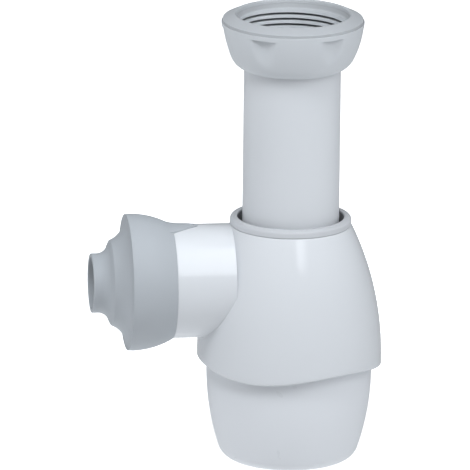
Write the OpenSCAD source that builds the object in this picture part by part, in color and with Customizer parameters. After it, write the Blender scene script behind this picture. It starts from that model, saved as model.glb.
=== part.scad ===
// Space saving sink trap: a telescopic bottle trap with a soft stepped adapter on its side outlet.
// The origin is the centre of the cup's base. +Z is up, and the outlet points along -X.

/* [Cup] */
// Outer radius of the cup where it goes into the body
cup_r = 34.2; // [32:0.1:38]
// Height of the cup's rim above its base
cup_h = 50.5; // [46:0.5:70]
// Thickness of the cup's wall and floor
cup_wall = 2.4; // [1.8:0.1:3]
// Radius that the cup's side bulges on
cup_bow = 107; // [90:1:200]
// Height at which the cup is widest
cup_wide_z = 38; // [30:0.5:40]
// Radius of the corner between the cup's side and its base
cup_round = 7; // [5:0.5:9]

/* [Cup seal] */
// Thickness of the flat ring between the cup's rim and the body
ring_h = 2; // [1.2:0.1:3]
// How far the ring stays inside the cup's rim on each side
ring_inset = 0.1; // [0.05:0.05:0.3]

/* [Bell body] */
// Radial room for the thread between the cup and the skirt
skirt_gap = 1; // [0.8:0.1:1.6]
// Thickness of the skirt
skirt_wall = 3; // [2.4:0.1:3.8]
// Depth to which the skirt covers the cup, at the rim's middle height
skirt_cover = 9; // [7:0.5:11]
// Height of the rim's waves above and below their middle
rim_wave = 1.63; // [0.4:0.01:2.2]
// Number of waves round the rim
rim_lobes = 3; // [2:1:6]
// Thickness of the bell's wall
bell_wall = 2.4; // [1.8:0.1:3]
// Inward reach of the ledge that the ring seals on
ledge_w = 3.6; // [3.2:0.1:4.4]
// Thickness of that ledge
ledge_h = 2.2; // [1.6:0.1:3]

/* [Outlet branch] */
// Outer radius of the branch
branch_r = 23.5; // [21:0.1:25]
// Thickness of the branch's wall
branch_wall = 2.4; // [1.8:0.1:3]
// Distance from the body's axis to the shoulder at the end of the branch
branch_l = 49.5; // [46:0.1:80]
// Outer radius of the spigot that carries the adapter
spigot_r = 22; // [19.5:0.1:22.4]
// Length of the spigot
spigot_l = 16; // [10:0.5:18]
// Thickness of the spigot's wall
spigot_wall = 2; // [1.6:0.1:2.6]

/* [Outlet adapter] */
// Radius of the adapter's widest part
adapter_r = 28.3; // [26:0.1:32]
// Length of the adapter's swelling sleeve
sleeve_l = 16.9; // [16:0.1:26]
// Width of the flat band round the widest part
band_w = 1.9; // [1:0.1:4]
// Radius of the step between the two hollow curves
step_r = 17.7; // [16.5:0.1:19]
// Length of the first hollow curve, from the band to the step
first_curve_l = 6.5; // [6:0.1:9]
// Width of the step
step_w = 0.8; // [0.4:0.1:1.6]
// Length of the second hollow curve, from the step to the nozzle
second_curve_l = 4.9; // [4.4:0.1:7]
// Outer radius of the nozzle
nozzle_r = 12.3; // [12:0.1:13.5]
// Length of the nozzle
nozzle_l = 2.4; // [1.6:0.1:8]
// Radius of the hole in the nozzle
nozzle_bore = 10.75; // [9.5:0.05:11]
// Length of the tongue that lies along the top of the branch
tab_l = 10.7; // [8:0.1:14]
// Width of the tongue where it runs into the sleeve
tab_w = 17.6; // [14:0.2:22]
// Height of the tongue's top above the branch
tab_h = 0.5; // [0.4:0.1:1.2]
// Radius of the hole near the tongue's tip
tab_hole = 1.2; // [0.8:0.1:2]
// Width of the rim round that hole
tab_rim = 1; // [0.8:0.1:1.5]
// Depth to which the tongue runs into the sleeve
tab_root = 2.5; // [2:0.1:4]
// Length over which the tongue's top rises into the sleeve
tab_rise_l = 6; // [4:0.5:8]
// Height of that rise
tab_rise = 1; // [0.5:0.1:1]

/* [Inlet tube] */
// Outer radius of the tube
tube_r = 20; // [18.5:0.05:20.3]
// Thickness of the tube's wall
tube_wall = 1.8; // [1.4:0.1:2.4]
// Length of tube that shows between the body and the nut
tube_show = 67.1; // [60:0.1:160]
// Length of tube inside the body, under its top
tube_hidden = 29.7; // [20:0.1:40]
// Outward reach of the flange at the top of the tube
flange_w = 1.9; // [1.6:0.1:2.1]
// Thickness of that flange
flange_h = 2.2; // [1.6:0.1:3]
// Room between the tube and the dip sleeve round it
dip_gap = 0.3; // [0.3:0.05:0.8]
// Thickness of the dip sleeve
dip_wall = 2.3; // [1.8:0.1:3]
// Height of the dip sleeve's foot above the cup's floor
dip_foot = 14.6; // [10:0.2:20]

/* [Neck seal] */
// Width of the open gap between the collar and the tube
collar_gap = 2.1; // [1.8:0.1:3]
// Height of the collar above the body
collar_h = 3.4; // [2.4:0.1:5]
// Radius of the collar's rounded top edge
collar_round = 1.6; // [0.8:0.1:2]
// Thickness of the seal's wall inside the neck
seal_wall = 1.2; // [0.8:0.1:1.4]
// Depth of the seal's seat below the top of the body
seal_depth = 9.7; // [8:0.1:12]
// Height of the lip that wipes the tube
lip_h = 1.2; // [0.8:0.1:2]
// Room between the lip and the tube
lip_gap = 0.05; // [0.03:0.01:0.1]
// Room between the seal and its seat
seat_gap = 0.05; // [0.03:0.01:0.1]
// Thickness of the neck round the seal
neck_wall = 1.75; // [1.5:0.05:2.2]

/* [Union nut] */
// Radius at the crests of the nut's thread, a nominal 1 1/2 inch pipe thread
thread_r = 22.4; // [22.35:0.05:24]
// Depth of that thread above the washer
thread_l = 14; // [10:0.5:20]
// Thickness of the nut's wall outside the thread's crests, at its widest
nut_wall = 7.1; // [6:0.1:9]
// Thickness of the nut's floor, under the tube's flange
nut_floor = 4.3; // [4:0.1:6]
// Thickness of the washer
washer_h = 2; // [1.4:0.1:3]
// Room between the nut and the tube
nut_gap = 0.35; // [0.3:0.05:0.5]
// Room between the flange and the wall and floor of its seat
flange_gap = 0.1; // [0.05:0.05:0.3]
// Size of the chamfer at the mouth of the thread
mouth_chamfer = 0.3; // [0.2:0.1:1]
// Rise of the nut's top face from its outer edge to its mouth
top_rise = 2.5; // [0.5:0.1:4]
// Height of the plain rim above the finger grips
grip_top = 3.2; // [2:0.1:5]
// Number of finger grips round the nut
grip_count = 6; // [3:1:8]
// Radius of each finger grip
grip_r = 12; // [8:0.5:16]
// Depth of each finger grip at its top
grip_depth = 2.1; // [1:0.1:2.6]
// Inward lean of each finger grip towards its foot, in degrees
grip_lean = 5.5; // [0:0.5:8]
// Turn of the grips away from the +X axis, in degrees
grip_turn = -2.5; // [-30:0.5:30]

/* [Hidden] */
$fn = 96;
arc_steps = 14;
rim_steps = 72;
over = 1; // how far a cut runs past what it cuts

// Heights, from the base up
rim_z = cup_h - skirt_cover;
skirt_foot_z = rim_z - rim_wave - over;
skirt_z = rim_z + rim_wave + 0.5; // the skirt is straight up to here
ledge_z = cup_h + ring_h;
branch_z = ledge_z + ledge_h + 0.3 + branch_r - branch_wall;
neck_z = branch_z + branch_r + 0.1;
seat_z = neck_z - seal_depth;
ceiling_z = seat_z - bell_wall;
dip_z = cup_wall + dip_foot;
nut_z = neck_z + tube_show;
nut_seat_z = nut_z + nut_floor;
flange_z = nut_seat_z + flange_gap;
washer_z = flange_z + flange_h;
thread_z = washer_z + washer_h;
nut_mouth_z = thread_z + thread_l + mouth_chamfer;
nut_edge_z = nut_mouth_z - top_rise; // outer edge of the nut's sloping top

// Radii, from the tube outwards
dip_bore = tube_r + dip_gap;
dip_r = dip_bore + dip_wall;
collar_bore = tube_r + collar_gap;
seal_r = collar_bore + seal_wall;
seat_r = seal_r + seat_gap;
neck_r = seat_r + neck_wall;
flange_r = tube_r + flange_w;
skirt_bore = cup_r + skirt_gap;
bell_r = skirt_bore + skirt_wall;
ledge_bore = skirt_bore - ledge_w;
nut_r = thread_r + nut_wall;

// Radius of the bell's long curve, which leaves the skirt upright and ends at the neck
bell_bow = (pow(neck_z - skirt_z, 2) + pow(bell_r - neck_r, 2)) / (2 * (bell_r - neck_r));

// Centres of the curves of the cup's side and corner, which meet without a kink
side_centre = [cup_r - cup_bow, cup_wide_z];
corner_reach = sqrt(pow(cup_bow - cup_round, 2) - pow(cup_wide_z - cup_round, 2));
corner_centre = [side_centre.x + corner_reach, cup_round];
corner_lean = -atan2(cup_wide_z - cup_round, corner_reach);

// Points of an arc round a centre, counted from the first step
function arc(centre, r, from, to, first = 0) =
    [for (i = [first:arc_steps]) let (t = from + (to - from) * i / arc_steps) centre + r * [cos(t), sin(t)]];

// Points of an arc from a to b that bulges by h to the right of the way from a to b
function bow(a, b, h) =
    let (
        chord = norm(b - a),
        along = (b - a) / chord,
        side = [along.y, -along.x] * sign(h),
        r = (chord * chord / 4 + h * h) / (2 * abs(h)),
        half = asin(chord / (2 * r)),
        centre = (a + b) / 2 - side * (r - abs(h))
    )
    [for (i = [0:arc_steps]) let (t = half * (2 * i / arc_steps - 1)) centre + r * (along * sin(t) + side * cos(t))];

function reversed(list) = [for (i = [len(list) - 1:-1:0]) list[i]];

// Outer radius of the bell at a height
function bell_at(z) = bell_r - bell_bow + sqrt(bell_bow * bell_bow - pow(z - skirt_z, 2));

// Points up the bell's curve, a wall's thickness inside its outer face
function bell_line(from, to, inside = 0) =
    [for (i = [0:arc_steps]) let (z = from + (to - from) * i / arc_steps) [bell_at(z) - inside, z]];

// Points up the cup's corner and side, a wall's thickness inside its outer face
function cup_line(inside = 0) =
    concat(
        arc(corner_centre, cup_round - inside, -90, corner_lean),
        arc(side_centre, cup_bow - inside, corner_lean, 0, 1)
    );

// Height of the rim at an angle round the body: low at +X, high over the outlet
function rim_at(angle) = rim_z - rim_wave * cos(rim_lobes * angle);

// Turns a shape that runs up from the origin so that it runs out along the branch
module along_branch(from = 0) {
    translate([-from, 0, branch_z]) rotate([0, -90, 0]) children();
}

module tube_between(outer, inner, low, high) {
    translate([0, 0, low]) difference() {
        cylinder(r = outer, h = high - low);
        translate([0, 0, -over]) cylinder(r = inner, h = high - low + 2 * over);
    }
}

module cup() {
    color([0.84, 0.86, 0.89]) rotate_extrude()
        polygon(concat(
            [[0, 0]],
            cup_line(),
            [[cup_r, cup_h], [cup_r - cup_wall, cup_h]],
            reversed(cup_line(cup_wall)),
            [[0, cup_wall]]
        ));
}

module cup_seal() {
    color([0.33, 0.35, 0.37])
        tube_between(cup_r - ring_inset, cup_r - cup_wall + ring_inset, cup_h, ledge_z);
}

// What the rim's waves take off the foot of the skirt
module rim_waves() {
    low = skirt_foot_z - over;
    inner = skirt_bore - skirt_gap / 2;
    outer = bell_r + over;
    function corner(r, angle, z) = [r * cos(angle), r * sin(angle), z];
    points = [
        for (i = [0:rim_steps - 1]) let (a = 360 * i / rim_steps)
            each [corner(inner, a, low), corner(outer, a, low), corner(outer, a, rim_at(a)), corner(inner, a, rim_at(a))]
    ];
    faces = [
        for (i = [0:rim_steps - 1]) let (p = 4 * i, q = 4 * ((i + 1) % rim_steps))
            each [
                [p, p + 1, q + 1], [p, q + 1, q],
                [p + 1, p + 2, q + 2], [p + 1, q + 2, q + 1],
                [p + 2, p + 3, q + 3], [p + 2, q + 3, q + 2],
                [p + 3, p, q], [p + 3, q, q + 3]
            ]
    ];
    polyhedron(points = points, faces = faces);
}

module bell_block() {
    rotate_extrude()
        polygon(concat([[0, skirt_foot_z], [bell_r, skirt_foot_z]], bell_line(skirt_z, neck_z), [[0, neck_z]]));
}

// The space round the dip sleeve, with the skirt's bore and the ledge under it
module bell_hollow() {
    rotate_extrude()
        polygon(concat(
            [
                [0, skirt_foot_z - over], [skirt_bore, skirt_foot_z - over], [skirt_bore, ledge_z],
                [ledge_bore, ledge_z], [ledge_bore, ledge_z + ledge_h]
            ],
            bell_line(ledge_z + ledge_h, ceiling_z, bell_wall),
            [[0, ceiling_z]]
        ));
}

module branch_block() {
    along_branch(dip_bore) cylinder(r = branch_r, h = branch_l - dip_bore);
    along_branch(branch_l - over) rotate_extrude()
        polygon([
            [0, 0], [spigot_r, 0], [spigot_r, spigot_l], [spigot_r - over, spigot_l + over], [0, spigot_l + over]
        ]);
}

module branch_hollow() {
    along_branch() cylinder(r = branch_r - branch_wall, h = branch_l - branch_wall);
    along_branch() cylinder(r = spigot_r - spigot_wall, h = branch_l + spigot_l + over);
}

module trap_body() {
    color([0.86, 0.88, 0.91]) difference() {
        union() {
            difference() {
                union() {
                    bell_block();
                    branch_block();
                }
                bell_hollow();
                branch_hollow();
                rim_waves();
            }
            translate([0, 0, dip_z]) cylinder(r = dip_r, h = seat_z - dip_z);
            translate([0, 0, ceiling_z]) cylinder(r = neck_r - 0.3, h = neck_z - ceiling_z);
        }
        translate([0, 0, dip_z - over]) cylinder(r = dip_bore, h = neck_z - dip_z + 2 * over);
        translate([0, 0, seat_z]) cylinder(r = seat_r, h = seal_depth + over);
    }
}

// The adapter's outline, from the branch's shoulder to the nozzle's end
module outlet_adapter() {
    lip_r = branch_r + tab_h / 2;
    band_end = sleeve_l + band_w;
    step_start = band_end + first_curve_l;
    nozzle_start = step_start + step_w + second_curve_l;
    end = nozzle_start + nozzle_l;
    socket_r = spigot_r + seat_gap;
    color([0.68, 0.70, 0.73]) {
        along_branch(branch_l) rotate_extrude()
            polygon(concat(
                [[socket_r, 0]],
                bow([lip_r, 0], [adapter_r, sleeve_l], 1.15),
                bow([adapter_r - 0.1, band_end], [step_r, step_start], -2.1),
                bow([step_r - 1.6, step_start + step_w], [nozzle_r, nozzle_start], -1.1),
                [[nozzle_r, end - 0.6], [nozzle_r - 0.3, end], [nozzle_bore, end]],
                [[nozzle_bore, nozzle_start - 2.2], [socket_r, band_end - 0.4]]
            ));
        adapter_tab();
    }
}

// A tongue of the sleeve that lies on the branch, rises into the sleeve and has a hole near its tip
module adapter_tab() {
    top_r = branch_r + tab_h;
    tip_r = tab_hole + tab_rim;
    tip = [tab_l - branch_l - tip_r, 0];
    root = [-branch_l - tab_root, tab_w / 2];
    intersection() {
        along_branch() rotate_extrude()
            polygon(concat(
                [[branch_r + seat_gap, -root.x], [branch_r + seat_gap, branch_l - tab_l - over]],
                [[top_r, branch_l - tab_l - over]],
                bow([top_r, -root.x - tab_rise_l], [top_r + tab_rise, -root.x], -tab_rise / 4)
            ));
        translate([0, 0, branch_z]) linear_extrude(branch_r + 2 * over) difference() {
            polygon(concat([root, [root.x, -root.y]], arc(tip, tip_r, -60, 60)));
            translate(tip) circle(tab_hole);
        }
    }
}

// The seal's wall hangs in its seat, its collar lies on the body and its lip wipes the tube
module neck_seal() {
    collar_r = neck_r;
    top = neck_z + collar_h;
    lip_z = seat_z + seat_gap;
    color([0.72, 0.74, 0.77]) rotate_extrude()
        polygon(concat(
            [
                [collar_bore, top], [collar_bore, lip_z + 2 * lip_h], [tube_r + lip_gap, lip_z + lip_h],
                [tube_r + lip_gap, lip_z], [seal_r, lip_z], [seal_r, neck_z], [collar_r, neck_z]
            ],
            arc([collar_r - collar_round, top - collar_round], collar_round, 0, 90)
        ));
}

module inlet_tube() {
    color([0.80, 0.82, 0.85]) {
        tube_between(tube_r, tube_r - tube_wall, neck_z - tube_hidden, washer_z);
        tube_between(flange_r, tube_r - over / 2, flange_z, washer_z);
    }
}

module nut_washer() {
    color([0.25, 0.26, 0.28]) tube_between(flange_r, tube_r - tube_wall, washer_z, thread_z);
}

module union_nut() {
    hole_r = tube_r + nut_gap;
    foot_r = hole_r + 0.95;
    shoulder = [foot_r + 3.9, nut_z + 3.7];
    side_top = [nut_r, nut_edge_z - 1.2];
    color([0.80, 0.81, 0.81]) difference() {
        rotate_extrude()
            polygon(concat(
                [[hole_r, nut_z]],
                bow([foot_r, nut_z], shoulder, 0.42),
                [for (p = bow(shoulder, side_top, 0.77)) if (p.y > shoulder.y + 0.1) p],
                [
                    [nut_r - 0.3, nut_edge_z], [thread_r + mouth_chamfer, nut_mouth_z],
                    [thread_r, nut_mouth_z - mouth_chamfer], [thread_r, thread_z],
                    [flange_r + flange_gap, thread_z], [flange_r + flange_gap, nut_seat_z], [hole_r, nut_seat_z]
                ]
            ));
        for (i = [0:grip_count - 1])
            rotate(grip_turn + 360 * i / grip_count) finger_grip();
    }
}

// A leaning round cut that stops flat under the nut's plain rim
module finger_grip() {
    top = nut_edge_z - grip_top;
    intersection() {
        translate([nut_r - grip_depth, 0, top]) rotate([0, grip_lean, 0])
            translate([grip_r, 0, nut_z - top - 2 * over]) cylinder(r = grip_r, h = top - nut_z + 4 * over);
        translate([nut_r, 0, nut_z - over]) cylinder(r = grip_r, h = top - nut_z + over);
    }
}

cup();
cup_seal();
trap_body();
outlet_adapter();
neck_seal();
inlet_tube();
nut_washer();
union_nut();
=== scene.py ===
import bmesh
import bpy
import math
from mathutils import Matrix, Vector


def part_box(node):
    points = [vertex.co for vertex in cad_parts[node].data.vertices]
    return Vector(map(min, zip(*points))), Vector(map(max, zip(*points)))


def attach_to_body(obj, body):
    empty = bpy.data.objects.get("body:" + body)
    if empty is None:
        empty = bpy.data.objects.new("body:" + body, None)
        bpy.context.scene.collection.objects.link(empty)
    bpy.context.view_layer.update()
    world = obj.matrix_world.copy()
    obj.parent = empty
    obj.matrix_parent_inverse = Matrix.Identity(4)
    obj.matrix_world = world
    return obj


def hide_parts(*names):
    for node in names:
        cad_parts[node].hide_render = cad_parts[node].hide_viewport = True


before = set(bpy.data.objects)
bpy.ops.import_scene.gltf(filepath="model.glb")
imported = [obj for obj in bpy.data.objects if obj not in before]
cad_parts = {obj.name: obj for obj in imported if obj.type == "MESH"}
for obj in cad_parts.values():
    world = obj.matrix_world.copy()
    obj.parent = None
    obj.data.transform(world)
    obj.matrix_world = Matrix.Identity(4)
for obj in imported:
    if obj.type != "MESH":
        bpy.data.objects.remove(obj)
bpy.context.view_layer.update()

# Profiles below are in millimetres, as (radius, height) from the piece's own axis
mm = 0.001
upright = {"centre": Vector((0, 0, 0)), "axis": Vector((0, 0, 1)), "side": Vector((1, 0, 0))}
# How near each other points count as one, in millimetres
tolerance = {"weld": 0.002, "screwWeld": 0.004, "plane": 0.0001}
# Edges that turn by more degrees than this stay crisp
sharpAngle = 32


def edgesOf(node):
    low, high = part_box(node)
    return low / mm, high / mm


_, cupHigh = edgesOf("cup")
bodyLow, bodyHigh = edgesOf("trap_body")
adapterLow, adapterHigh = edgesOf("outlet_adapter")
collarLow, collarHigh = edgesOf("neck_seal")
tubeLow, tubeHigh = edgesOf("inlet_tube")
nutLow, nutHigh = edgesOf("union_nut")
print("frame loaded")


# Profile helpers
def bow(start, end, height, steps=16):
    # arc that bulges to the right of the way from start to end
    a, b = Vector(start), Vector(end)
    chord = (b - a).length
    along = (b - a) / chord
    side = Vector((along.y, -along.x)) * (1 if height > 0 else -1)
    rise = abs(height)
    radius = (chord * chord / 4 + rise * rise) / (2 * rise)
    half = math.asin(chord / (2 * radius))
    centre = (a + b) / 2 - side * (radius - rise)
    turns = [half * (2 * i / steps - 1) for i in range(steps + 1)]
    return [tuple(centre + radius * (along * math.sin(t) + side * math.cos(t))) for t in turns]


# A rounding takes at most this share of the shorter side, and keeps a guard point this far past its ends
rounding = {"share": 0.45, "guard": 0.3}


def roundedOutline(corners, steps=4):
    # a third value on a corner is the radius that rounds it
    points = []
    for i, corner in enumerate(corners):
        here = Vector(corner[:2])
        if len(corner) < 3:
            points.append(here)
            continue
        toBefore = Vector(corners[i - 1][:2]) - here
        toAfter = Vector(corners[(i + 1) % len(corners)][:2]) - here
        room = min(toBefore.length, toAfter.length)
        toBefore.normalize()
        toAfter.normalize()
        half = toBefore.angle(toAfter) / 2
        setback = min(corner[2] / math.tan(half), room * rounding["share"])
        radius = setback * math.tan(half)
        centre = here + (toBefore + toAfter).normalized() * radius / math.sin(half)
        start = here + toBefore * setback - centre
        end = here + toAfter * setback - centre
        turn = start.angle_signed(end)
        guarded = setback + rounding["guard"] < room / 2
        if guarded:
            points.append(here + toBefore * (setback + rounding["guard"]))
        for k in range(steps + 1):
            t = -turn * k / steps
            points.append(centre + Vector((
                start.x * math.cos(t) - start.y * math.sin(t),
                start.x * math.sin(t) + start.y * math.cos(t),
            )))
        if guarded:
            points.append(here + toAfter * (setback + rounding["guard"]))
    return points


def spinOutline(points, segments, place=upright):
    bm = bmesh.new()
    verts = [
        bm.verts.new((place["centre"] + place["side"] * p[0] + place["axis"] * p[1]) * mm)
        for p in points
    ]
    edges = [bm.edges.new((verts[i - 1], verts[i])) for i in range(len(verts))]
    bmesh.ops.spin(
        bm, geom=verts + edges, cent=place["centre"] * mm, axis=place["axis"], dvec=(0, 0, 0),
        angle=math.tau, steps=segments, use_merge=True,
    )
    bmesh.ops.remove_doubles(bm, verts=bm.verts, dist=tolerance["weld"] * mm)
    bmesh.ops.recalc_face_normals(bm, faces=bm.faces)
    return bm


def asObject(name, bm):
    mesh = bpy.data.meshes.new(name)
    bm.to_mesh(mesh)
    bm.free()
    piece = bpy.data.objects.new(name, mesh)
    bpy.context.collection.objects.link(piece)
    return piece


def combine(base, tool, operation):
    change = base.modifiers.new(operation, "BOOLEAN")
    change.operation = operation
    change.solver = "EXACT"
    change.object = tool
    graph = bpy.context.evaluated_depsgraph_get()
    result = bpy.data.meshes.new_from_object(base.evaluated_get(graph))
    base.modifiers.clear()
    base.data = result
    bpy.data.objects.remove(tool)


def attach(base, extra):
    # puts the faces of both into one mesh, and leaves the first's own faces as they are
    bm = bmesh.new()
    bm.from_mesh(base.data)
    bm.from_mesh(extra.data)
    bm.to_mesh(base.data)
    bm.free()
    bpy.data.objects.remove(extra)


def prism(name, outline, lowZ, height):
    bm = bmesh.new()
    foot = bm.faces.new([bm.verts.new((x * mm, y * mm, lowZ * mm)) for x, y in outline])
    grown = bmesh.ops.extrude_face_region(bm, geom=[foot])["geom"]
    top = [v for v in grown if isinstance(v, bmesh.types.BMVert)]
    bmesh.ops.translate(bm, verts=top, vec=(0, 0, height * mm))
    bmesh.ops.recalc_face_normals(bm, faces=bm.faces)
    return asObject(name, bm)


def isRim(edge, height):
    return edge.is_boundary and all(abs(v.co.z - height) < tolerance["plane"] * mm for v in edge.verts)


def screwSolid(name, outline, pitch, lowZ, highZ, startZ, segments):
    # a rod whose surface winds up by one pitch a turn, cut flat at both ends
    turns = math.ceil((highZ - startZ) / pitch) + 1
    bm = bmesh.new()
    verts = [bm.verts.new((r * mm, 0, (startZ + z) * mm)) for r, z in outline]
    edges = [bm.edges.new((verts[i], verts[i + 1])) for i in range(len(verts) - 1)]
    bmesh.ops.spin(
        bm, geom=verts + edges, cent=(0, 0, 0), axis=(0, 0, 1), dvec=(0, 0, pitch * mm / segments),
        angle=math.tau * turns, steps=segments * turns, use_merge=False,
    )
    bmesh.ops.remove_doubles(bm, verts=bm.verts, dist=tolerance["screwWeld"] * mm)
    for height, normal in ((lowZ * mm, (0, 0, -1)), (highZ * mm, (0, 0, 1))):
        bmesh.ops.bisect_plane(
            bm, geom=bm.verts[:] + bm.edges[:] + bm.faces[:], dist=tolerance["plane"] * mm,
            plane_co=(0, 0, height), plane_no=normal, clear_outer=True,
        )
        bmesh.ops.contextual_create(bm, geom=[e for e in bm.edges if isRim(e, height)])
    bmesh.ops.recalc_face_normals(bm, faces=bm.faces)
    return asObject(name, bm)


def threadRidge(name, outline, pitch, startZ, turns, segments=96):
    # a closed strip that climbs like a thread, with flat ends
    bm = bmesh.new()
    bm.faces.new([bm.verts.new((r * mm, 0, (startZ + z) * mm)) for r, z in outline])
    bmesh.ops.spin(
        bm, geom=bm.verts[:] + bm.edges[:] + bm.faces[:], cent=(0, 0, 0), axis=(0, 0, 1),
        dvec=(0, 0, pitch * mm / segments), angle=math.tau * turns, steps=round(segments * turns),
        use_duplicate=False,
    )
    bmesh.ops.recalc_face_normals(bm, faces=bm.faces)
    return asObject(name, bm)


def dress(piece, node, body, slot):
    piece.data.shade_smooth()
    piece.data.set_sharp_from_angle(angle=math.radians(sharpAngle))
    piece.data.materials.clear()
    piece.data.materials.append(finishes[slot])
    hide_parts(node)
    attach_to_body(piece, body)
    print("made", piece.name, len(piece.data.polygons), "faces")


# Thread between the cup and the skirt, right-handed, seen when the trap is unscrewed
screwFit = {
    "pitch": 4, "height": 0.75, "sunk": 0.3, "halfFoot": 0.8, "halfCrest": 0.4, "lowest": 44.2, "turns": 1.4,
}


def screwStrip(name, radius, outwards, lift):
    tip = radius + screwFit["height"] * outwards
    root = radius - screwFit["sunk"] * outwards
    outline = [
        (root, -screwFit["halfFoot"]), (tip, -screwFit["halfCrest"]),
        (tip, screwFit["halfCrest"]), (root, screwFit["halfFoot"]),
    ]
    return threadRidge(name, outline, screwFit["pitch"], screwFit["lowest"] + lift, screwFit["turns"])


# Cup: a rounded foot and a side that is one long bow, widest at widestZ
cupShape = {
    "wall": 2.4, "bow": 107, "widestZ": 38, "corner": 7, "rimEdge": 0.4,
    "cornerSteps": 12, "sideSteps": 24, "sides": 192,
}


def makeCup():
    c, radius, rim = cupShape, cupHigh.x, cupHigh.z
    sideX = radius - c["bow"]
    rise = c["widestZ"] - c["corner"]
    cornerX = sideX + math.sqrt((c["bow"] - c["corner"]) ** 2 - rise ** 2)
    lean = -math.atan2(rise, cornerX - sideX)
    down = -math.pi / 2
    cornerTurns = [down + (lean - down) * i / c["cornerSteps"] for i in range(c["cornerSteps"] + 1)]
    sideTurns = [lean * (1 - i / c["sideSteps"]) for i in range(1, c["sideSteps"] + 1)]

    def wallLine(inside):
        corner, side = c["corner"] - inside, c["bow"] - inside
        foot = [(cornerX + corner * math.cos(t), c["corner"] + corner * math.sin(t)) for t in cornerTurns]
        return foot + [(sideX + side * math.cos(t), c["widestZ"] + side * math.sin(t)) for t in sideTurns]

    outline = [(0, 0)] + wallLine(0)
    outline += [(radius, rim, c["rimEdge"]), (radius - c["wall"], rim, c["rimEdge"])]
    outline += wallLine(c["wall"])[::-1] + [(0, c["wall"])]
    cup = asObject("cup_shell", spinOutline(roundedOutline(outline), c["sides"]))
    attach(cup, screwStrip("cup_strip", radius, 1, 0))
    dress(cup, "cup", "cup", "cup_plastic")


# Flat rings: the seal under the body's ledge and the washer on the tube's flange
ringShape = {"sealWidth": 2.3, "washerBore": 18.2, "edge": 0.3, "sides": 160}


def makeRing(name, node, body, bore):
    low, high = edgesOf(node)
    corners = [(bore, low.z), (high.x, low.z), (high.x, high.z), (bore, high.z)]
    outline = roundedOutline([(*corner, ringShape["edge"]) for corner in corners])
    dress(asObject(name, spinOutline(outline, ringShape["sides"])), node, body, "seal_rubber")


# Bell body: the skirt's rim waves up and down, and a ledge inside holds the cup's seal
bellShape = {
    "wall": 2.4, "neckR": 25.1, "rimZ": 41.5, "straightTo": 43.63, "skirtBore": 35.2, "ledgeZ": 52.5,
    "ledgeTop": 54.7, "ledgeBore": 31.6, "ceiling": 87.6, "seatZ": 90, "seatR": 23.35, "sleeveR": 22.6,
    "sleeveBore": 20.3, "edge": 0.3, "neckEdge": 0.4, "rimInside": 0.5, "rimOutside": 0.8,
    "sleeveEdge": 0.5, "lineFrom": 2.2, "lineTo": 0.9, "boreRings": (7, 3), "sides": 216,
}
rimWave = {"height": 1.63, "count": 3, "top": 50, "margin": 0.1, "skin": 1.5}
branchShape = {
    "z": 76.1, "radius": 23.5, "bore": 21.1, "length": 49.5, "spigotR": 22, "spigotBore": 20, "start": 24.9,
    "edge": 0.3, "spigotEdge": 0.9, "rings": 10, "past": 1, "sides": 192,
}
# What clears the branch out of the bell's inside, within half a wall
clearing = {"lowest": 45, "belowNeck": 0.02}
# The branch's own axis, which points away from the bell
outward = {"centre": Vector((0, 0, branchShape["z"])), "axis": Vector((-1, 0, 0)), "side": Vector((0, 0, 1))}


def bellAt(z):
    drop = bellShape["straightTo"]
    lean = bodyHigh.x - bellShape["neckR"]
    bowR = ((bodyHigh.z - drop) ** 2 + lean ** 2) / (2 * lean)
    return bodyHigh.x - bowR + math.sqrt(bowR ** 2 - max(z - drop, 0) ** 2)


def bellLine(low, high, inside, steps=60):
    heights = [low + (high - low) * i / steps for i in range(steps + 1)]
    return [(bellAt(z) - inside, z) for z in heights]


def rimWaves(bm):
    # moves the foot of the skirt up and down along the bell's own curve
    w = rimWave
    full = bellShape["rimZ"] + bellShape["rimOutside"]
    for vert in bm.verts:
        z = vert.co.z / mm
        radius = math.hypot(vert.co.x, vert.co.y) / mm
        if z > w["top"] or radius < bellShape["skirtBore"] - w["margin"]:
            continue
        angle = math.atan2(vert.co.y, vert.co.x)
        share = min(1, (w["top"] - z) / (w["top"] - full))
        newZ = z - w["height"] * math.cos(w["count"] * angle) * share
        grow = (bellAt(newZ) - bellAt(z)) if radius > bodyHigh.x - w["skin"] else 0
        vert.co.x *= (radius + grow) / radius
        vert.co.y *= (radius + grow) / radius
        vert.co.z = newZ * mm


def bellSolid():
    b, top, foot = bellShape, bodyHigh.z, bodyLow.z
    outline = [(b["skirtBore"], b["rimZ"], b["rimInside"]), (bodyHigh.x, b["rimZ"], b["rimOutside"])]
    outline += bellLine(b["rimZ"] + b["lineFrom"], top - b["lineTo"], 0)
    outline += [(b["neckR"], top, b["neckEdge"]), (b["seatR"], top, b["edge"])]
    outline += [(b["seatR"], b["seatZ"]), (b["sleeveBore"], b["seatZ"], b["edge"])]
    outline += [(b["sleeveBore"], foot, b["edge"]), (b["sleeveR"], foot, b["sleeveEdge"])]
    outline += [(b["sleeveR"], b["ceiling"])]
    outline += bellLine(b["ledgeTop"], b["ceiling"], b["wall"], 30)[::-1]
    outline += [(b["ledgeBore"], b["ledgeTop"], b["edge"]), (b["ledgeBore"], b["ledgeZ"], b["edge"])]
    outline += [(b["skirtBore"], b["ledgeZ"])]
    outline += [(b["skirtBore"], b["rimZ"] + rise) for rise in b["boreRings"]]
    bm = spinOutline(roundedOutline(outline), b["sides"])
    rimWaves(bm)
    return asObject("bell_body", bm)


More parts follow.
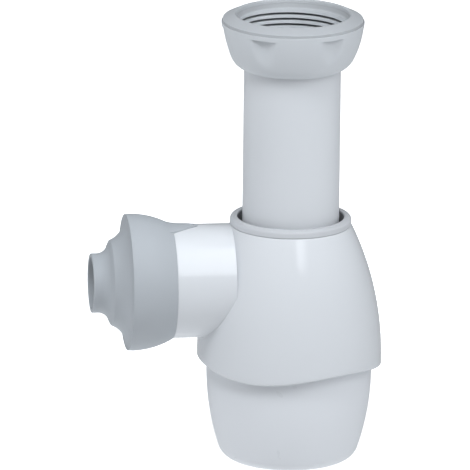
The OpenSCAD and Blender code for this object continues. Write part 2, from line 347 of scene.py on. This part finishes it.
def branchSolid():
    # full inside as yet, and ends where it meets the bell's wall
    s, b, end = branchShape, bellShape, -bodyLow.x
    step = (s["length"] - s["start"]) / s["rings"]
    outline = [(0, s["start"]), (s["radius"], s["start"])]
    outline += [(s["radius"], s["start"] + step * i) for i in range(1, s["rings"])]
    outline += [(s["radius"], s["length"], s["edge"]), (s["spigotR"], s["length"])]
    outline += [(s["spigotR"], end, s["spigotEdge"]), (0, end)]
    branch = asObject("branch", spinOutline(roundedOutline(outline), s["sides"], outward))
    top = bodyHigh.z - clearing["belowNeck"]
    insideLine = [(0, clearing["lowest"])] + bellLine(clearing["lowest"], top, b["wall"] / 2) + [(0, top)]
    combine(branch, asObject("inside", spinOutline(insideLine, b["sides"])), "DIFFERENCE")
    return branch


def branchBore():
    s, end = branchShape, -bodyLow.x + branchShape["past"]
    narrow = s["length"] - bellShape["wall"]
    outline = [(0, s["start"]), (s["bore"], s["start"]), (s["bore"], narrow)]
    outline += [(s["spigotBore"], narrow), (s["spigotBore"], end), (0, end)]
    return asObject("bore", spinOutline(outline, s["sides"], outward))


def makeBody():
    body = bellSolid()
    combine(body, branchSolid(), "UNION")
    combine(body, branchBore(), "DIFFERENCE")
    combine(body, screwStrip("skirt_strip", bellShape["skirtBore"], -1, screwFit["pitch"] / 2), "UNION")
    dress(body, "trap_body", "trap_body", "body_plastic")


# Soft stepped adapter on the spigot, with heights counted from the branch's lip
adapterShape = {
    "lipR": 23.75, "sleeve": 16.9, "band": 18.8, "bandIn": 0.1, "stepR": 17.7, "step": 25.3, "stepWidth": 0.8,
    "underR": 16.1, "nozzle": 31.0, "nozzleR": 12.3, "bore": 10.75, "socket": 22.05, "sides": 216,
    "boreFrom": 28.8, "socketTo": 18.4, "bandEdge": 0.22, "stepEdge": 0.2, "nozzleEdge": 0.35,
    "boreEdge": 0.25, "sleeveBow": 1.15, "frontBow": 2.1, "endBow": 1.1, "sleeveSteps": 28,
    "frontSteps": 22, "endSteps": 18,
}
tongueShape = {
    "foot": 0.05, "top": 0.5, "root": 2.5, "rootHalf": 8.8, "riseLength": 6, "rise": 1, "riseSteps": 12,
    "hole": 1.2, "holeSides": 32, "rim": 1, "tipTurn": 60, "tipSteps": 16, "past": 1, "cutHeight": 30,
}


def makeTongue():
    # lies on top of the branch, narrows to a round tip with a hole and rises into the sleeve
    t, along, lip = tongueShape, branchShape["radius"], branchShape["length"]
    top, root, tipX = along + t["top"], lip + t["root"], adapterHigh.x
    start, middleZ = -tipX - t["past"], outward["centre"].z
    profile = [(along + t["foot"], root), (along + t["foot"], start), (top, start)]
    riseStart, riseEnd = (top, root - t["riseLength"]), (top + t["rise"], root)
    profile += bow(riseStart, riseEnd, -t["rise"] / 4, t["riseSteps"])
    tongue = asObject("tongue", spinOutline(profile, adapterShape["sides"], outward))
    tipR = t["hole"] + t["rim"]
    tipMiddle = tipX - tipR
    turns = [math.radians(t["tipTurn"] * (2 * i / t["tipSteps"] - 1)) for i in range(t["tipSteps"] + 1)]
    sides = [(-root, t["rootHalf"]), (-root, -t["rootHalf"])]
    sides += [(tipMiddle + tipR * math.cos(a), tipR * math.sin(a)) for a in turns]
    combine(tongue, prism("tongue_sides", sides, middleZ, t["cutHeight"]), "INTERSECT")
    around = [math.tau * i / t["holeSides"] for i in range(t["holeSides"])]
    hole = [(tipMiddle + t["hole"] * math.cos(a), t["hole"] * math.sin(a)) for a in around]
    combine(tongue, prism("tongue_hole", hole, middleZ, t["cutHeight"]), "DIFFERENCE")
    return tongue


def makeAdapter():
    a, start, end = adapterShape, branchShape["length"], -adapterLow.x
    widest = adapterHigh.z - outward["centre"].z
    bandR, stepEnd = widest - a["bandIn"], (a["underR"], a["step"] + a["stepWidth"])

    def away(points):
        return [(p[0], p[1] + start, *p[2:]) for p in points]

    outline = away([(a["socket"], 0)])
    outline += away(bow((a["lipR"], 0), (widest, a["sleeve"]), a["sleeveBow"], a["sleeveSteps"]))
    outline += away([(bandR, a["band"], a["bandEdge"])])
    outline += away(bow((bandR, a["band"]), (a["stepR"], a["step"]), -a["frontBow"], a["frontSteps"])[1:-1])
    outline += away([(a["stepR"], a["step"], a["stepEdge"]), stepEnd])
    outline += away(bow(stepEnd, (a["nozzleR"], a["nozzle"]), -a["endBow"], a["endSteps"])[1:])
    outline += [(a["nozzleR"], end, a["nozzleEdge"]), (a["bore"], end, a["boreEdge"])]
    outline += away([(a["bore"], a["boreFrom"]), (a["socket"], a["socketTo"])])
    adapter = asObject("stepped_adapter", spinOutline(roundedOutline(outline), a["sides"], outward))
    combine(adapter, makeTongue(), "UNION")
    dress(adapter, "outlet_adapter", "trap_body", "adapter_rubber")


# Soft collar in the body's neck, with a lip at its foot that wipes the tube
collarShape = {
    "bore": 22.1, "seatR": 23.3, "lipBore": 20.05, "lip": 1.2, "roundTop": 1.6, "topEdge": 0.25,
    "lipEdge": 0.1, "footEdge": 0.2, "lowerEdge": 0.45, "roundSteps": 8, "sides": 216,
}


def makeCollar():
    c, top, foot, outer = collarShape, collarHigh.z, collarLow.z, collarHigh.x
    outline = [(c["bore"], top, c["topEdge"]), (c["bore"], foot + 2 * c["lip"])]
    outline += [(c["lipBore"], foot + c["lip"], c["lipEdge"]), (c["lipBore"], foot, c["lipEdge"])]
    outline += [(c["seatR"], foot, c["footEdge"]), (c["seatR"], bodyHigh.z)]
    outline += [(outer, bodyHigh.z, c["lowerEdge"]), (outer, top, c["roundTop"])]
    collar = asObject("neck_collar", spinOutline(roundedOutline(outline, c["roundSteps"]), c["sides"]))
    dress(collar, "neck_seal", "neck_seal", "collar_rubber")


# Sliding tube with the flange that the nut holds
tubeShape = {
    "radius": 20, "wall": 1.8, "flangeHeight": 2.2, "edge": 0.3, "footEdge": 0.5, "flangeRoot": 0.2,
    "boreEdge": 0.4, "sides": 192,
}


def makeTube():
    t, low, high, flangeR = tubeShape, tubeLow.z, tubeHigh.z, tubeHigh.x
    outer, bore, flangeZ = t["radius"], t["radius"] - t["wall"], high - t["flangeHeight"]
    outline = [(bore, low, t["edge"]), (outer, low, t["footEdge"]), (outer, flangeZ, t["flangeRoot"])]
    outline += [(flangeR, flangeZ, t["edge"]), (flangeR, high, t["edge"]), (bore, high, t["boreEdge"])]
    tube = asObject("sliding_tube", spinOutline(roundedOutline(outline), t["sides"]))
    dress(tube, "inlet_tube", "inlet_tube", "tube_plastic")


# Inlet nut: swelling side, sloping top with a fine line under its edge, and a pipe thread inside
nutShape = {
    "hole": 20.35, "holeEdge": 0.2, "foot": 0.95, "shoulderOut": 3.9, "shoulderUp": 3.7, "shoulderBow": 0.42,
    "shoulderSteps": 10, "sideBow": 0.77, "sideSteps": 60, "sideClear": 0.1, "seatR": 22, "floor": 4.3,
    "floorEdge": 0.1, "threadR": 22.4, "threadZ": 175.4, "topRise": 2.5, "sides": 240,
}
edgeLine = {"deep": 0.4, "from": 1.2, "to": 0.95, "lean": 0.15, "edge": 0.2}
leadIn = {
    "mouthR": 23.6, "upperR": 23.4, "upperDepth": 2.2, "depth": 4.1, "soften": 0.9, "upperEdge": 0.3,
    "lowerEdge": 0.4,
}
# Six finger grips, each a wide shallow scallop that ends in a ledge below the top's edge
gripShape = {
    "top": 3.2, "count": 6, "radius": 12, "deep": 2.1, "turn": -2.5, "lean": 5.5, "soft": 0.25,
    "margin": 0.05, "outside": 1.5, "rings": (-0.3, -0.12, -0.02, 0.08, 0.2, 0.4), "ringsClear": 0.55,
}
# One turn of the thread, with the heights at which the groove opens, is at its root and closes
pipeThread = {
    "pitch": 2.309, "root": 23.85, "top": 184.4, "grooveZ": 183.4, "grooveAngle": 82.5, "corner": 0.1,
    "opens": (1.15, 1.21), "deepFrom": (1.62, 1.72), "deepTo": (1.92, 2.0), "closes": 2.25, "middle": 1.8,
    "turnsBelow": 5, "foot": 0.4, "sides": 120,
}


def softLess(value, limit, soft, steep=30):
    # the smaller of the two, with the edge between them softened
    gap = (value - limit) / soft
    return value - soft * (math.log1p(math.exp(gap)) if gap < steep else gap)


def fingerGrips(bm, ledgeZ):
    g = gripShape
    each = 360 / g["count"]
    lean = math.tan(math.radians(g["lean"]))
    for vert in bm.verts:
        z, r = vert.co.z / mm, math.hypot(vert.co.x, vert.co.y) / mm
        if z > ledgeZ + g["margin"] or r < nutShape["threadR"] + g["outside"]:
            continue
        angle = math.degrees(math.atan2(vert.co.y, vert.co.x)) - g["turn"]
        off = math.radians((angle + each / 2) % each - each / 2)
        reach = nutHigh.x - g["deep"] - max(ledgeZ - z, 0) * lean + g["radius"]
        inside = g["radius"] ** 2 - (reach * math.sin(off)) ** 2
        if inside <= 0:
            continue
        newR = softLess(r, reach * math.cos(off) - math.sqrt(inside), g["soft"])
        vert.co.x *= newR / r
        vert.co.y *= newR / r


def nutSide(shoulder, end, ledgeZ):
    # the swelling side, with close rings where the grips' ledge cuts it
    n, g = nutShape, gripShape
    lowest = shoulder[1] + n["sideClear"]
    side = [p for p in bow(shoulder, end, n["sideBow"], n["sideSteps"]) if p[1] > lowest]

    def sideAt(z):
        above = next(i for i, p in enumerate(side) if p[1] >= z)
        p, q = side[above - 1], side[above]
        return p[0] + (q[0] - p[0]) * (z - p[1]) / (q[1] - p[1])

    keep = [p for p in side[:-1] if abs(p[1] - ledgeZ) > g["ringsClear"]]
    keep += [(sideAt(ledgeZ + rise), ledgeZ + rise) for rise in g["rings"]]
    return sorted(keep, key=lambda p: p[1])


def nutSolid():
    n, g, line = nutShape, gripShape, edgeLine
    low, mouth, radius = nutLow.z, nutHigh.z, nutHigh.x
    edgeZ = mouth - n["topRise"]
    ledgeZ = edgeZ - g["top"]
    foot = (n["hole"] + n["foot"], low)
    shoulder = (foot[0] + n["shoulderOut"], low + n["shoulderUp"])
    lineFrom, deepR = (radius, edgeZ - line["from"]), radius - line["deep"]
    outline = [(n["hole"], low, n["holeEdge"]), foot]
    outline += bow(foot, shoulder, n["shoulderBow"], n["shoulderSteps"])[1:]
    outline += nutSide(shoulder, lineFrom, ledgeZ)
    outline += [(*lineFrom, line["edge"]), (deepR, edgeZ - line["to"])]
    outline += [(deepR - line["lean"], edgeZ, line["edge"]), (leadIn["mouthR"], mouth, leadIn["soften"])]
    outline += [(leadIn["upperR"], mouth - leadIn["upperDepth"], leadIn["upperEdge"])]
    outline += [(n["threadR"], mouth - leadIn["depth"], leadIn["lowerEdge"]), (n["threadR"], n["threadZ"])]
    outline += [(n["seatR"], n["threadZ"]), (n["seatR"], low + n["floor"])]
    outline += [(n["hole"], low + n["floor"], n["floorEdge"])]
    bm = spinOutline(roundedOutline(outline), n["sides"])
    fingerGrips(bm, ledgeZ)
    return asObject("inlet_nut", bm)


def grooveScrew():
    t, crest, root, corner = pipeThread, nutShape["threadR"], pipeThread["root"], pipeThread["corner"]
    turn = [(crest, 0), (crest, t["opens"][0]), (crest + corner, t["opens"][1])]
    turn += [(root - corner, t["deepFrom"][0]), (root, t["deepFrom"][1])]
    turn += [(root, t["deepTo"][0]), (root - corner, t["deepTo"][1])]
    turn += [(crest + corner, t["closes"]), (crest, t["pitch"])]
    grooveAtZero = t["grooveZ"] - t["pitch"] * t["grooveAngle"] / 360
    start = grooveAtZero - t["middle"] - t["turnsBelow"] * t["pitch"]
    return screwSolid("screw", turn, t["pitch"], nutShape["threadZ"] + t["foot"], t["top"], start, t["sides"])


def makeNut():
    nut = nutSolid()
    combine(nut, grooveScrew(), "DIFFERENCE")
    dress(nut, "union_nut", "union_nut", "nut_plastic")


# What all the surfaces share: the noise's usual range and detail, how deep the bumps go in millimetres,
# and how far up a face has to look to start getting painted shade, and to be fully shaded
surface = {
    "noiseRange": (0.3, 0.7), "cloudDetail": 2, "glossDetail": 4, "waveDetail": 1, "grainDetail": 2,
    "waveDepth": 0.2, "grainDepth": 0.02, "upward": (0.3, 0.85),
}


def newMaterial(name):
    material = bpy.data.materials.new(name)
    material.use_nodes = True
    nodes = material.node_tree.nodes
    nodes.clear()
    output = nodes.new("ShaderNodeOutputMaterial")
    shader = nodes.new("ShaderNodeBsdfPrincipled")
    material.node_tree.links.new(shader.outputs["BSDF"], output.inputs["Surface"])
    return material, shader


def ramp(tree, value, start, end, low, high):
    change = tree.nodes.new("ShaderNodeMapRange")
    change.inputs["From Min"].default_value = start
    change.inputs["From Max"].default_value = end
    change.inputs["To Min"].default_value = low
    change.inputs["To Max"].default_value = high
    tree.links.new(value, change.inputs["Value"])
    return change.outputs["Result"]


def maths(tree, operation, first, second):
    # the second is another node's output or a plain number
    node = tree.nodes.new("ShaderNodeMath")
    node.operation = operation
    tree.links.new(first, node.inputs[0])
    if isinstance(second, bpy.types.NodeSocket):
        tree.links.new(second, node.inputs[1])
    else:
        node.inputs[1].default_value = second
    return node.outputs["Value"]


def scaled(tree, colour, factor):
    scale = tree.nodes.new("ShaderNodeVectorMath")
    scale.operation = "SCALE"
    tree.links.new(colour, scale.inputs[0])
    tree.links.new(factor, scale.inputs["Scale"])
    return scale.outputs["Vector"]


def splitUp(tree, vector):
    split = tree.nodes.new("ShaderNodeSeparateXYZ")
    tree.links.new(vector, split.inputs["Vector"])
    return split.outputs


def noiseAt(tree, place, scale, detail, stretch=(1, 1, 1)):
    mapping = tree.nodes.new("ShaderNodeMapping")
    mapping.inputs["Scale"].default_value = stretch
    noise = tree.nodes.new("ShaderNodeTexNoise")
    noise.inputs["Scale"].default_value = scale
    noise.inputs["Detail"].default_value = detail
    tree.links.new(place, mapping.inputs["Vector"])
    tree.links.new(mapping.outputs["Vector"], noise.inputs["Vector"])
    return noise.outputs["Fac"]


def bumpOn(tree, height, strength, distance, under=None):
    bump = tree.nodes.new("ShaderNodeBump")
    bump.inputs["Strength"].default_value = strength
    bump.inputs["Distance"].default_value = distance * mm
    tree.links.new(height, bump.inputs["Height"])
    if under:
        tree.links.new(under, bump.inputs["Normal"])
    return bump.outputs["Normal"]


def paintedShadeOnTop(tree, colour, shade):
    # painted shade: faces that look up are painted a shade greyer
    facing = tree.nodes.new("ShaderNodeNewGeometry").outputs["Normal"]
    return scaled(tree, colour, ramp(tree, splitUp(tree, facing)["Z"], *surface["upward"], 1, shade))


def paintedShadeAndLightZone(tree, place, colour, zone):
    # paints shade on a ring about the axis, with a range of radius and of height; a factor above one paints
    # light instead
    split = splitUp(tree, place)
    flat = tree.nodes.new("ShaderNodeCombineXYZ")
    radius = tree.nodes.new("ShaderNodeVectorMath")
    radius.operation = "LENGTH"
    tree.links.new(split["X"], flat.inputs["X"])
    tree.links.new(split["Y"], flat.inputs["Y"])
    tree.links.new(flat.outputs["Vector"], radius.inputs[0])
    share, soft = None, zone["soft"]
    for measure, value in (("radius", radius.outputs["Value"]), ("height", split["Z"])):
        low, high = zone[measure]
        into = ramp(tree, value, (low - soft) * mm, (low + soft) * mm, 0, 1)
        outOf = ramp(tree, value, (high - soft) * mm, (high + soft) * mm, 1, 0)
        inside = maths(tree, "MULTIPLY", into, outOf)
        share = inside if share is None else maths(tree, "MULTIPLY", share, inside)
    return scaled(tree, colour, ramp(tree, share, 0, 1, 1, zone["shade"]))


def finish(name, look):
    # a moulded surface: faint clouding of the colour, uneven gloss, slow waves and a fine grain
    material, shader = newMaterial(name)
    tree = material.node_tree
    place = tree.nodes.new("ShaderNodeTexCoord").outputs["Object"]
    stretch = look.get("stretch", (1, 1, 1))

    cloud = noiseAt(tree, place, look["cloudScale"], surface["cloudDetail"])
    blend = tree.nodes.new("ShaderNodeMix")
    blend.data_type = "RGBA"
    blend.inputs["A"].default_value = (*[c * (1 - look["cloud"]) for c in look["colour"]], 1)
    blend.inputs["B"].default_value = (*look["colour"], 1)
    tree.links.new(ramp(tree, cloud, *surface["noiseRange"], 0, 1), blend.inputs["Factor"])
    colour = blend.outputs["Result"]
    # painted shade on faces that look up
    if "paintedTopShade" in look:
        colour = paintedShadeOnTop(tree, colour, look["paintedTopShade"])
    # rings of painted shade and painted light
    for zone in look.get("paintedZones", ()):
        colour = paintedShadeAndLightZone(tree, place, colour, zone)
    tree.links.new(colour, shader.inputs["Base Color"])

    gloss = noiseAt(tree, place, look["glossScale"], surface["glossDetail"], stretch)
    glossEnds = look["roughness"] - look["glossSpread"], look["roughness"] + look["glossSpread"]
    tree.links.new(ramp(tree, gloss, *surface["noiseRange"], *glossEnds), shader.inputs["Roughness"])

    wave = noiseAt(tree, place, look["waveScale"], surface["waveDetail"], stretch)
    grain = noiseAt(tree, place, look["grainScale"], surface["grainDetail"])
    waved = bumpOn(tree, wave, look["wave"], surface["waveDepth"])
    tree.links.new(bumpOn(tree, grain, look["grain"], surface["grainDepth"], waved), shader.inputs["Normal"])
    shader.inputs["IOR"].default_value = look["ior"]
    shader.inputs["Specular IOR Level"].default_value = look["specular"]
    return material


# Rings of the nut with painted shade and painted light: painted shade in the grooves, on both slopes of the
# mouth and in the line under the top's edge, and painted light on the thread's crests
threadFoot, mouthZ = nutShape["threadZ"] + 0.6, nutHigh.z
nutPaintedShadeAndLight = (
    {"radius": (22.75, 25), "height": (threadFoot, pipeThread["top"] + 0.45), "soft": 0.2, "shade": 0.35},
    {"radius": (22.55, 25), "height": (mouthZ - 4.3, mouthZ - 2), "soft": 0.2, "shade": 0.7},
    {"radius": (22.8, 24.2), "height": (mouthZ - 2, mouthZ - 0.6), "soft": 0.2, "shade": 0.88},
    {"radius": (20, 22.55), "height": (threadFoot, mouthZ - leadIn["depth"]), "soft": 0.1, "shade": 1.18},
    {"radius": (28.2, 32), "height": (mouthZ - 3.65, mouthZ - 2.6), "soft": 0.12, "shade": 0.72},
)
# Painted shade on the collar's inside and in the seam below it
collarPaintedShade = (
    {"radius": (19, 22.7), "height": (80, collarHigh.z - 0.7), "soft": 0.3, "shade": 0.45},
    {"radius": (24.6, 30), "height": (bodyHigh.z - 0.5, bodyHigh.z + 0.3), "soft": 0.15, "shade": 0.7},
)
looks = {
    "cup_plastic": {
        "colour": (0.86, 0.875, 0.90), "cloud": 0.02, "cloudScale": 22, "roughness": 0.3,
        "glossSpread": 0.03, "glossScale": 60, "waveScale": 45, "wave": 0.05, "grainScale": 2600,
        "grain": 0.05, "ior": 1.49, "specular": 0.5,
    },
    "body_plastic": {
        "colour": (0.79, 0.805, 0.825), "cloud": 0.02, "cloudScale": 18, "roughness": 0.09,
        "glossSpread": 0.015, "glossScale": 50, "waveScale": 35, "wave": 0.05, "grainScale": 2600,
        "grain": 0.04, "ior": 1.49, "specular": 0.5,
    },
    "tube_plastic": {
        "colour": (0.78, 0.795, 0.815), "cloud": 0.02, "cloudScale": 20, "roughness": 0.34,
        "glossSpread": 0.04, "glossScale": 90, "stretch": (1, 1, 0.08), "waveScale": 120, "wave": 0.05,
        "grainScale": 2600, "grain": 0.05, "ior": 1.49, "specular": 0.5,
    },
    "nut_plastic": {
        "colour": (0.69, 0.71, 0.73), "cloud": 0.03, "cloudScale": 40, "roughness": 0.42,
        "glossSpread": 0.04, "glossScale": 120, "waveScale": 60, "wave": 0.05, "grainScale": 2200,
        # painted shade on the nut's upward faces, and its rings of painted shade and painted light
        "grain": 0.1, "ior": 1.49, "specular": 0.45, "paintedTopShade": 0.78, "paintedZones": nutPaintedShadeAndLight,
    },
    "adapter_rubber": {
        "colour": (0.505, 0.53, 0.555), "cloud": 0.04, "cloudScale": 45, "roughness": 0.55,
        "glossSpread": 0.05, "glossScale": 150, "waveScale": 60, "wave": 0.08, "grainScale": 1800,
        "grain": 0.25, "ior": 1.5, "specular": 0.35,
    },
    "collar_rubber": {
        "colour": (0.69, 0.70, 0.72), "cloud": 0.03, "cloudScale": 60, "roughness": 0.5,
        "glossSpread": 0.05, "glossScale": 150, "waveScale": 60, "wave": 0.08, "grainScale": 1800,
        # painted shade on the collar's upward faces, and its rings of painted shade
        "grain": 0.2, "ior": 1.5, "specular": 0.35, "paintedTopShade": 0.84, "paintedZones": collarPaintedShade,
    },
    "seal_rubber": {
        "colour": (0.08, 0.085, 0.09), "cloud": 0.1, "cloudScale": 80, "roughness": 0.6,
        "glossSpread": 0.06, "glossScale": 200, "waveScale": 80, "wave": 0.1, "grainScale": 1800,
        "grain": 0.3, "ior": 1.5, "specular": 0.3,
    },
}
finishes = {name: finish(name, look) for name, look in looks.items()}
print("finishes made:", len(finishes))

makeCup()
makeRing("cup_ring", "cup_seal", "cup_seal", cupHigh.x - ringShape["sealWidth"])
makeBody()
makeAdapter()
makeCollar()
makeTube()
makeRing("flat_washer", "nut_washer", "inlet_tube", ringShape["washerBore"])
makeNut()

# Floor, light and camera, in metres
studio = {
    "tint": (0.96, 1.0, 1.045), "floorGlow": 0.8, "floorColour": (0.9, 0.9, 0.9), "floorRoughness": 0.9,
    "floorSize": 12, "lampDistance": 2.5, "middle": (0, 0, 0.095),
}
# Soft surroundings: a pale ground below and a pale wall on the left
glows = {
    "ground": {"elevation": -90, "azimuth": 0, "strength": 1.18},
    "left_wall": {"elevation": 0, "azimuth": -97, "strength": 0.28},
    "back_wall": {"elevation": 0, "azimuth": 173, "strength": 0.13},
}
# What glossy surfaces mirror: a bright strip overhead, from a level edge in front to just behind the object
ceiling = {
    "azimuth": -7, "edge": (23.5, 26.5), "depth": (-0.5, 0.3), "leftEdge": (0.02, 0.11),
    "rightEdge": (0.2, 0.4), "strength": 3.2,
}
# Azimuth 0 is straight in front of the object, and grows towards its right
lamps = {
    "high_left": {"elevation": 60, "azimuth": -30, "size": 0.8, "power": 23.7},
    "front_right": {"elevation": 30, "azimuth": 45, "size": 1.6, "power": 20.8},
    "front": {"elevation": 45, "azimuth": 0, "size": 0.8, "power": 10},
    "high_right": {"elevation": 60, "azimuth": 45, "size": 1.6, "power": 13},
    "side_left": {"elevation": 30, "azimuth": -80, "size": 1.6, "power": 11.4},
    "side_right": {"elevation": 0, "azimuth": 80, "size": 1.6, "power": 5.5},
}
# The camera looks down a little, with the outlet turned towards it, from far enough to be nearly flat
view = {
    "azimuth": -7.5, "elevation": 15.5, "roll": 0.65, "pixelsPerMm": 2.42, "imageSide": 470,
    "distance": 5.5, "targetZ": 94.4, "leftOfAxis": 22.9, "sensor": 36,
}


def towards(elevation, azimuth):
    up, across = math.radians(elevation), math.radians(azimuth)
    return Vector((math.sin(across) * math.cos(up), -math.cos(across) * math.cos(up), math.sin(up)))


def aim(thing, place, target):
    thing.location = place
    thing.rotation_euler = (Vector(target) - Vector(place)).to_track_quat("-Z", "Y").to_euler()


def makeFloor():
    bm = bmesh.new()
    bmesh.ops.create_grid(bm, x_segments=1, y_segments=1, size=studio["floorSize"] / 2)
    floor = asObject("floor", bm)
    material, shader = newMaterial("pale_floor")
    shader.inputs["Base Color"].default_value = (*studio["floorColour"], 1)
    shader.inputs["Roughness"].default_value = studio["floorRoughness"]
    shader.inputs["Emission Color"].default_value = (1, 1, 1, 1)
    shader.inputs["Emission Strength"].default_value = studio["floorGlow"]
    floor.data.materials.append(material)
    # the light from below comes from the glowing ground instead
    floor.visible_glossy = False
    floor.visible_diffuse = False
    floor.visible_shadow = False


def along(tree, direction, way):
    share = tree.nodes.new("ShaderNodeVectorMath")
    share.operation = "DOT_PRODUCT"
    share.inputs[1].default_value = way
    tree.links.new(direction, share.inputs[0])
    return share.outputs["Value"]


def glowAround(tree, direction):
    total = None
    for glow in glows.values():
        # brightest in its own direction, dark from a right angle on
        facing = along(tree, direction, towards(glow["elevation"], glow["azimuth"]))
        part = maths(tree, "MULTIPLY", maths(tree, "MAXIMUM", facing, 0), glow["strength"])
        total = part if total is None else maths(tree, "ADD", total, part)
    return total


def stripOverhead(tree, direction):
    split = splitUp(tree, direction)
    edge = [math.sin(math.radians(a)) for a in ceiling["edge"]]
    forward = along(tree, direction, towards(0, ceiling["azimuth"]))
    bright = ramp(tree, split["Z"], *edge, 0, 1)
    for limit in (
        ramp(tree, forward, *ceiling["depth"], 0, ceiling["strength"]),
        ramp(tree, split["X"], *ceiling["leftEdge"], 0, 1),
        ramp(tree, split["X"], *ceiling["rightEdge"], 1, 0),
    ):
        bright = maths(tree, "MULTIPLY", bright, limit)
    return bright


def background(tree, colour, strength=None):
    glow = tree.nodes.new("ShaderNodeBackground")
    glow.inputs["Color"].default_value = (*colour, 1)
    if strength:
        tree.links.new(strength, glow.inputs["Strength"])
    return glow.outputs["Background"]


def choose(tree, ray, otherwise, chosen):
    mix = tree.nodes.new("ShaderNodeMixShader")
    tree.links.new(ray, mix.inputs["Fac"])
    tree.links.new(otherwise, mix.inputs[1])
    tree.links.new(chosen, mix.inputs[2])
    return mix.outputs["Shader"]


def makeWorld():
    # plain white to the camera, with the strip overhead added for glossy rays
    world = bpy.data.worlds.new("studio")
    bpy.context.scene.world = world
    world.use_nodes = True
    tree = world.node_tree
    tree.nodes.clear()
    direction = tree.nodes.new("ShaderNodeTexCoord").outputs["Generated"]
    ray = tree.nodes.new("ShaderNodeLightPath").outputs
    around = glowAround(tree, direction)
    mirrored = maths(tree, "ADD", around, stripOverhead(tree, direction))
    tinted = [background(tree, studio["tint"], strength) for strength in (around, mirrored)]
    lit = choose(tree, ray["Is Glossy Ray"], *tinted)
    seen = choose(tree, ray["Is Camera Ray"], lit, background(tree, (1, 1, 1)))
    output = tree.nodes.new("ShaderNodeOutputWorld")
    tree.links.new(seen, output.inputs["Surface"])


def makeLamps():
    middle = Vector(studio["middle"])
    for name, lamp in lamps.items():
        data = bpy.data.lights.new(name, "AREA")
        data.shape = "SQUARE"
        data.size = lamp["size"]
        data.energy = lamp["power"]
        data.color = studio["tint"]
        light = bpy.data.objects.new(name, data)
        bpy.context.collection.objects.link(light)
        # the reflections come from the ceiling instead
        light.visible_glossy = False
        aim(light, middle + towards(lamp["elevation"], lamp["azimuth"]) * studio["lampDistance"], middle)


def makeCamera():
    azimuth = math.radians(view["azimuth"])
    imageLeft = Vector((-math.cos(azimuth), -math.sin(azimuth), 0))
    target = (Vector((0, 0, view["targetZ"])) + imageLeft * view["leftOfAxis"]) * mm
    back = towards(view["elevation"], view["azimuth"])
    data = bpy.data.cameras.new("camera")
    data.sensor_width = view["sensor"]
    data.lens = view["sensor"] * view["distance"] * view["pixelsPerMm"] / mm / view["imageSide"]
    camera = bpy.data.objects.new("camera", data)
    bpy.context.collection.objects.link(camera)
    aim(camera, target + back * view["distance"], target)
    camera.rotation_euler.rotate_axis("Z", math.radians(view["roll"]))
    bpy.context.scene.camera = camera


makeFloor()
makeWorld()
makeLamps()
makeCamera()
bpy.context.scene.view_settings.view_transform = "Standard"
print("studio ready")
